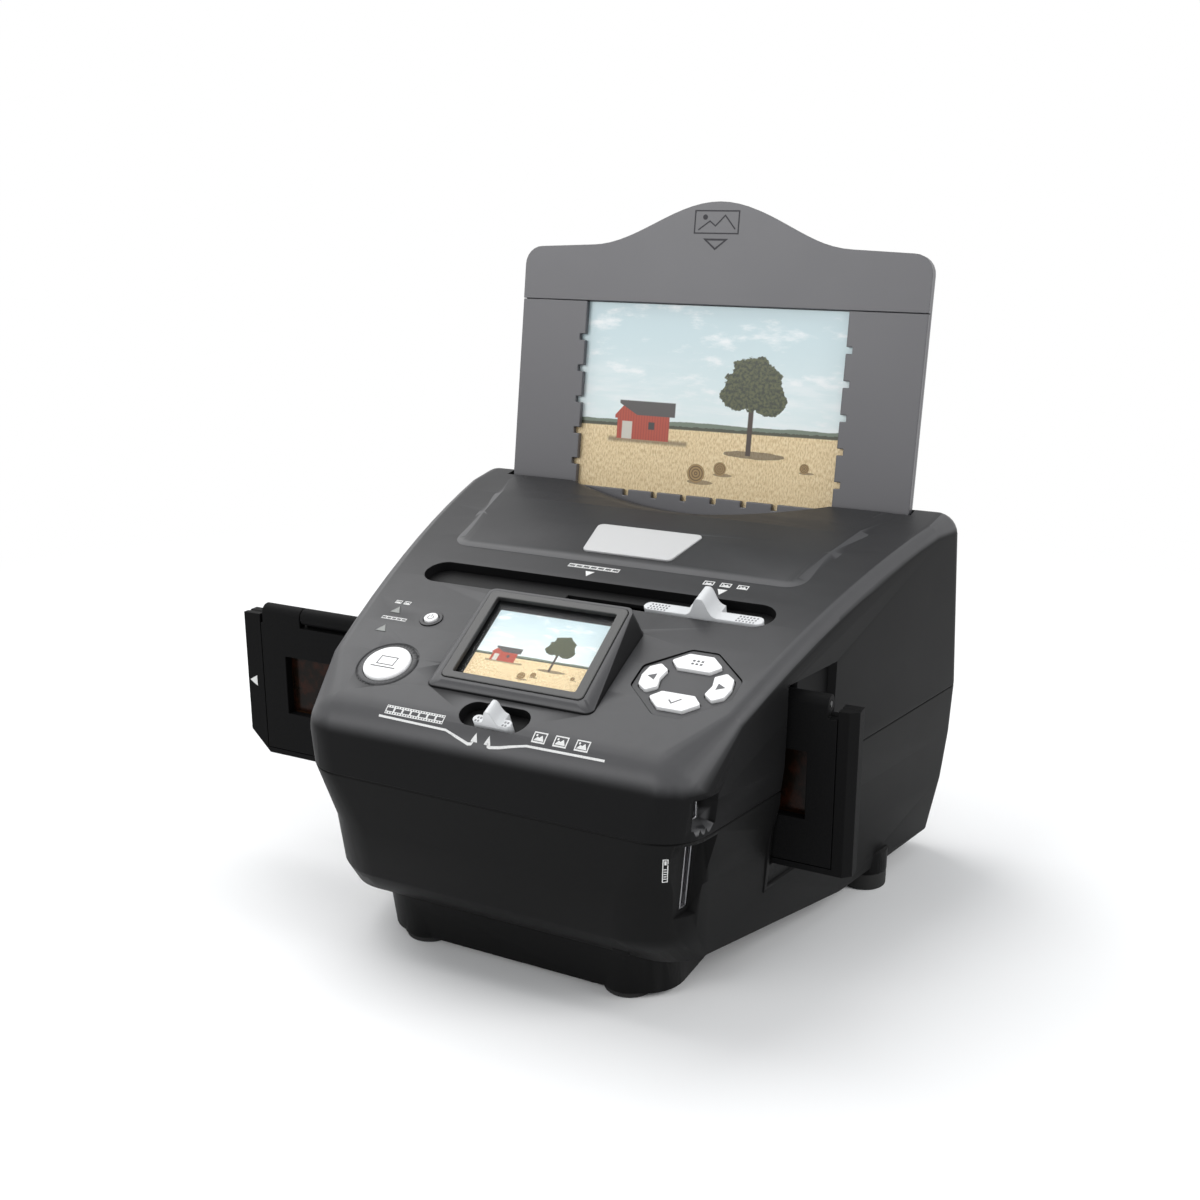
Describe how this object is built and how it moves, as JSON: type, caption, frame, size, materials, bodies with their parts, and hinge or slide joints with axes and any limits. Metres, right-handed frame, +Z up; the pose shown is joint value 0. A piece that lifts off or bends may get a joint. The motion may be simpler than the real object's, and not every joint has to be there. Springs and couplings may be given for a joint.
{
  "type": "film negative scanner",
  "caption": "Desktop film and photo scanner with a tilted display, push buttons, slide switches, a leaning photo holder and a film holder that slides through from side to side.",
  "frame": {"origin": "centre of the whole object's bounding box, on the table that the feet rest on", "axes": "+X to the viewer's right as one faces the controls, +Y to the back, +Z up"},
  "size_m": [0.2644, 0.205, 0.2679],
  "materials": {
    "housing_upper": "satin, fine grain",
    "housing_lower": "satin, fine grain",
    "foot_rubber": "matte",
    "screw_steel": "bright",
    "display_frame": "satin",
    "display_glass": "polished",
    "display_panel": "printed picture",
    "plate_silver": "satin",
    "button_white": "satin",
    "slider_white": "satin",
    "light_pipe": "frosted",
    "track_black": "matte",
    "chassis_black": "matte",
    "board_green": "solder mask",
    "lamp_board": "matte",
    "bracket_grey": "matte",
    "lens_black": "anodised black",
    "socket_metal": "plated",
    "holder_grey": "fine grain",
    "print_paper": "glossy photo paper",
    "film_black": "coarse grain",
    "film_negative": "glossy",
    "light_panel": "diffusing"
  },
  "bodies": {
    "chassis": {"lower_housing": "housing_lower", "upper_housing": "housing_upper", "rubber_feet": "foot_rubber", "foot_screws": "screw_steel", "case_screws": "screw_steel", "display_pod": "housing_upper", "display_frame": "display_frame", "display_glass": "display_glass", "display_module": "display_panel", "name_plate": "plate_silver", "power_ring": "housing_upper", "indicator_pipes": "light_pipe", "mode_track": "track_black", "lens_track": "track_black", "nav_plate": "housing_lower", "button_boards": "board_green", "main_board": "board_green", "film_guide": "chassis_black", "guide_screws": "screw_steel", "photo_guide": "chassis_black", "photo_lamps": "lamp_board", "camera_bracket": "bracket_grey", "sensor_board": "board_green", "lens_barrel": "lens_black", "port_board": "board_green", "data_socket": "socket_metal", "data_tongue": "track_black", "card_socket": "socket_metal"},
    "photo_holder": {"photo_back": "holder_grey", "photo_frame": "holder_grey", "photo_print": "print_paper"},
    "film_holder": {"film_base": "film_black", "film_cover": "film_black", "film_pin": "screw_steel", "film_strip": "film_negative"},
    "mode_slider": {"mode_knob": "slider_white", "mode_carriage": "chassis_black", "backlight_box": "lamp_board", "backlight_panel": "light_panel"},
    "lens_slider": {"lens_knob": "slider_white", "lens_fork": "chassis_black"},
    "focus_ring": {"focus_ring": "bracket_grey"},
    "start_button": {"start_button": "button_white"},
    "power_button": {"power_button": "button_white"},
    "key_top": {"key_top": "button_white"},
    "key_bottom": {"key_bottom": "button_white"},
    "key_left": {"key_left": "button_white"},
    "key_right": {"key_right": "button_white"}
  },
  "joints": [
    {"name": "photo_slide", "type": "slide", "parent": "chassis", "child": "photo_holder", "axis": [0, 0.1478, 0.989], "range_m": [-0.1, 0.018]},
    {"name": "film_slide", "type": "slide", "parent": "chassis", "child": "film_holder", "axis": [1, 0, 0], "range_m": [-0.17, 0.21]},
    {"name": "mode_slide", "type": "slide", "parent": "chassis", "child": "mode_slider", "axis": [1, 0, 0], "range_m": [-0.054, 0]},
    {"name": "lens_slide", "type": "slide", "parent": "chassis", "child": "lens_slider", "axis": [1, 0, 0], "range_m": [-0.005, 0]},
    {"name": "focus_turn", "type": "hinge", "parent": "chassis", "child": "focus_ring", "pos_m": [0.02015, -0.06897, 0.075], "axis": [0, 1, 0], "range_deg": [-18, 0]},
    {"name": "start_press", "type": "slide", "parent": "chassis", "child": "start_button", "axis": [0, -0.3833, 0.9236], "range_m": [-0.0008, 0], "stiffness_N_per_m": 300},
    {"name": "power_press", "type": "slide", "parent": "chassis", "child": "power_button", "axis": [0, -0.3373, 0.9414], "range_m": [-0.0008, 0], "stiffness_N_per_m": 300},
    {"name": "key_top_press", "type": "slide", "parent": "chassis", "child": "key_top", "axis": [0, -0.3566, 0.9343], "range_m": [-0.0008, 0], "stiffness_N_per_m": 300},
    {"name": "key_bottom_press", "type": "slide", "parent": "chassis", "child": "key_bottom", "axis": [0, -0.3566, 0.9343], "range_m": [-0.0008, 0], "stiffness_N_per_m": 300},
    {"name": "key_left_press", "type": "slide", "parent": "chassis", "child": "key_left", "axis": [0, -0.3566, 0.9343], "range_m": [-0.0008, 0], "stiffness_N_per_m": 300},
    {"name": "key_right_press", "type": "slide", "parent": "chassis", "child": "key_right", "axis": [0, -0.3566, 0.9343], "range_m": [-0.0008, 0], "stiffness_N_per_m": 300}
  ],
  "couplings": [
    {"joint": "focus_turn", "follows": "lens_slide", "rad_per_m": 61.33}
  ]
}
